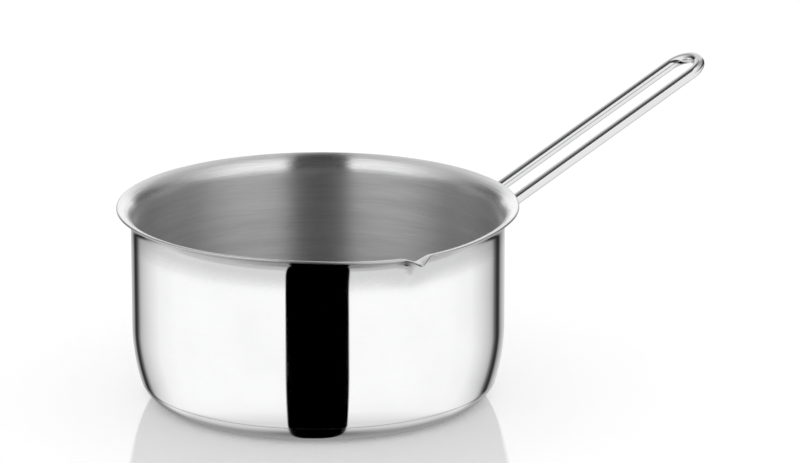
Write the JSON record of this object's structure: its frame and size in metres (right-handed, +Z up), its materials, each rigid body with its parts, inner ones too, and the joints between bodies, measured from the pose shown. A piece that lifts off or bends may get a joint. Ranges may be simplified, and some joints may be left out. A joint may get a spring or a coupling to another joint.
{
  "type": "saucepan",
  "caption": "Round stainless steel saucepan with a polished straight wall, flared rim with a pouring spout, sealed heat-spreading base and a sloping hairpin rod handle.",
  "frame": {"origin": "centre of the flat underside, on the surface the pan stands on", "axes": "+Z up along the vessel's axis, +X along the handle, -Y towards the pouring spout"},
  "size_m": [0.2828, 0.179, 0.1283],
  "materials": {
    "polished_steel": "mirror polished stainless steel outside, rim and handle, fine brushed inside",
    "satin_steel": "satin stainless steel",
    "core_aluminium": "rolled aluminium",
    "weld_steel": "brushed weld metal"
  },
  "bodies": {
    "root": {"vessel": "polished_steel", "base_cap": "satin_steel", "base_core": "core_aluminium", "handle_rod": "polished_steel", "weld_near_inner": "weld_steel", "weld_near_outer": "weld_steel", "weld_far_inner": "weld_steel", "weld_far_outer": "weld_steel"}
  },
  "joints": []
}
